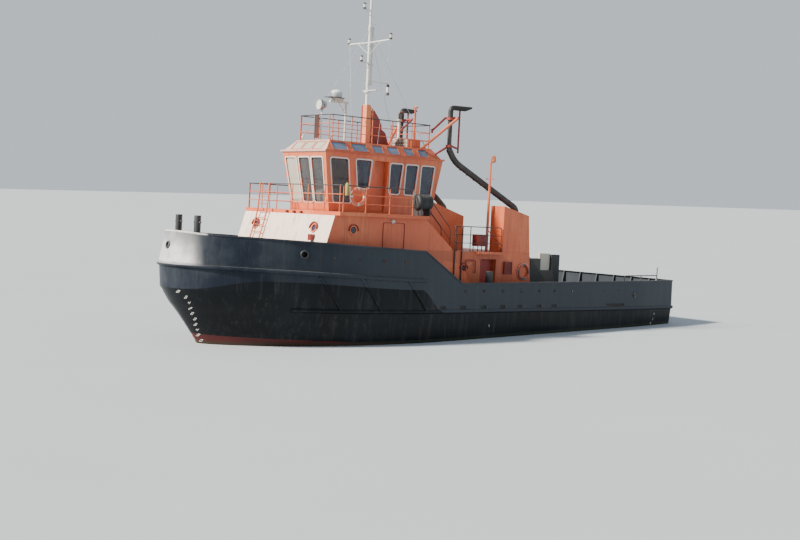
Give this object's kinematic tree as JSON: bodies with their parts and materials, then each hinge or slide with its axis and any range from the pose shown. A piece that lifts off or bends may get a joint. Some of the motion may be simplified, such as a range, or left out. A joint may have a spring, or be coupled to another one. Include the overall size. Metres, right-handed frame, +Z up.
{
  "type": "offshore support tug",
  "caption": "Twin-screw offshore support tug afloat: black hull, orange deckhouses, hollow wheelhouse, mast, towing winch, doors, rudders and propellers that move.",
  "frame": {"origin": "amidships on the centreline at the waterline", "axes": "+X to the bow, +Y to port, +Z up"},
  "size_m": [26.6516, 8.99, 18.6],
  "materials": {
    "hull_paint": "satin black marine enamel, dusty",
    "orange_paint": "semi-gloss orange enamel, faded",
    "red_paint": "semi-gloss red enamel",
    "antifouling": "matt dull red antifouling",
    "white_paint": "semi-gloss white enamel",
    "dark_steel": "worn dark paint over steel",
    "exhaust_steel": "sooty heat-dulled steel",
    "window_glass": "tinted glass",
    "bronze": "cast propeller bronze",
    "radar_plastic": "weathered pale grey moulding",
    "lamp_steel": "galvanised steel",
    "raft_cover": "black coated cloth cover",
    "seat_vinyl": "black vinyl",
    "buoy_plastic": "moulded plastic with orange bands"
  },
  "bodies": {
    "tug": {"aft_bulwark": "hull_paint", "aft_glazing": "window_glass", "aft_house": "orange_paint", "bow_bitts": "dark_steel", "bow_ladder": "orange_paint", "bridge_deck": "orange_paint", "bridge_lifebuoy": "buoy_plastic", "bridge_rail": "orange_paint", "capstan_base": "dark_steel", "engine_casing": "orange_paint", "fender_belt": "hull_paint", "fore_bulwark": "hull_paint", "forward_house": "orange_paint", "front_glazing": "window_glass", "helm_chair": "seat_vinyl", "helm_desk": "white_paint", "house_lifebuoy": "red_paint", "hull": "hull_paint", "lamp_post": "orange_paint", "liferaft": "raft_cover", "liferaft_cradle": "lamp_steel", "mast": "white_paint", "mast_base": "orange_paint", "port_bitts": "dark_steel", "port_exhaust": "exhaust_steel", "port_pipe_bracket": "orange_paint", "port_roof_rail": "orange_paint", "port_stair": "orange_paint", "port_stern_rail": "dark_steel", "port_uptake": "orange_paint", "radar_dome": "radar_plastic", "radar_mount": "white_paint", "roof_locker": "red_paint", "roof_rail": "orange_paint", "roof_vent": "orange_paint", "searchlight_post": "white_paint", "skylight_glazing": "window_glass", "starboard_bitts": "dark_steel", "starboard_exhaust": "exhaust_steel", "starboard_pipe_bracket": "orange_paint", "starboard_roof_rail": "orange_paint", "starboard_stair": "orange_paint", "starboard_stern_rail": "dark_steel", "starboard_uptake": "orange_paint", "wheelhouse": "orange_paint", "wheelhouse_roof": "orange_paint", "winch_frame": "dark_steel", "winch_panel": "white_paint"},
    "port_propeller_body": {"port_propeller": "bronze"},
    "starboard_propeller_body": {"starboard_propeller": "bronze"},
    "port_rudder_body": {"port_rudder": "antifouling"},
    "starboard_rudder_body": {"starboard_rudder": "antifouling"},
    "searchlight_body": {"searchlight": "lamp_steel"},
    "port_wheelhouse_door_body": {"port_wheelhouse_door": "orange_paint"},
    "starboard_wheelhouse_door_body": {"starboard_wheelhouse_door": "orange_paint"},
    "port_house_door_body": {"port_house_door": "red_paint"},
    "starboard_house_door_body": {"starboard_house_door": "red_paint"},
    "winch_drum_body": {"winch_drum": "dark_steel"},
    "capstan_body": {"capstan": "dark_steel"},
    "hatch_lid_body": {"hatch_lid": "dark_steel"}
  },
  "joints": [
    {"name": "port_propeller_spin", "type": "hinge", "parent": "tug", "child": "port_propeller_body", "pos_m": [-9.535, 1.9, -1.85], "axis": [1, 0, 0], "continuous": true},
    {"name": "starboard_propeller_spin", "type": "hinge", "parent": "tug", "child": "starboard_propeller_body", "pos_m": [-9.535, -1.9, -1.85], "axis": [1, 0, 0], "continuous": true},
    {"name": "port_rudder_turn", "type": "hinge", "parent": "tug", "child": "port_rudder_body", "pos_m": [-10.9, 1.9, -1], "axis": [0, 0, 1], "range_deg": [-35, 35]},
    {"name": "starboard_rudder_turn", "type": "hinge", "parent": "tug", "child": "starboard_rudder_body", "pos_m": [-10.9, -1.9, -1], "axis": [0, 0, 1], "range_deg": [-35, 35]},
    {"name": "searchlight_pan", "type": "hinge", "parent": "tug", "child": "searchlight_body", "pos_m": [6.4, 0.3, 9.4], "axis": [0, 0, 1], "range_deg": [-170, 170]},
    {"name": "port_wheelhouse_door_swing", "type": "hinge", "parent": "tug", "child": "port_wheelhouse_door_body", "pos_m": [3.656, 1.285, 5.6], "axis": [0, 0, 1], "range_deg": [0, 90]},
    {"name": "starboard_wheelhouse_door_swing", "type": "hinge", "parent": "tug", "child": "starboard_wheelhouse_door_body", "pos_m": [3.656, -1.285, 5.6], "axis": [0, 0, -1], "range_deg": [0, 90]},
    {"name": "port_house_door_swing", "type": "hinge", "parent": "tug", "child": "port_house_door_body", "pos_m": [-1.36, 3.01, 1.75], "axis": [0, 0, 1], "range_deg": [0, 90]},
    {"name": "starboard_house_door_swing", "type": "hinge", "parent": "tug", "child": "starboard_house_door_body", "pos_m": [-1.36, -3.01, 1.75], "axis": [0, 0, -1], "range_deg": [0, 90]},
    {"name": "winch_drum_turn", "type": "hinge", "parent": "tug", "child": "winch_drum_body", "pos_m": [-5.8, 0, 2.4], "axis": [0, 1, 0], "continuous": true},
    {"name": "capstan_turn", "type": "hinge", "parent": "tug", "child": "capstan_body", "pos_m": [10.3, 0, 3.15], "axis": [0, 0, 1], "continuous": true},
    {"name": "hatch_lid_swing", "type": "hinge", "parent": "tug", "child": "hatch_lid_body", "pos_m": [-9.84, 0, 1.695], "axis": [0, 1, 0], "range_deg": [0, 100]}
  ],
  "couplings": [
    {"joint": "starboard_rudder_turn", "follows": "port_rudder_turn", "ratio": 1}
  ]
}
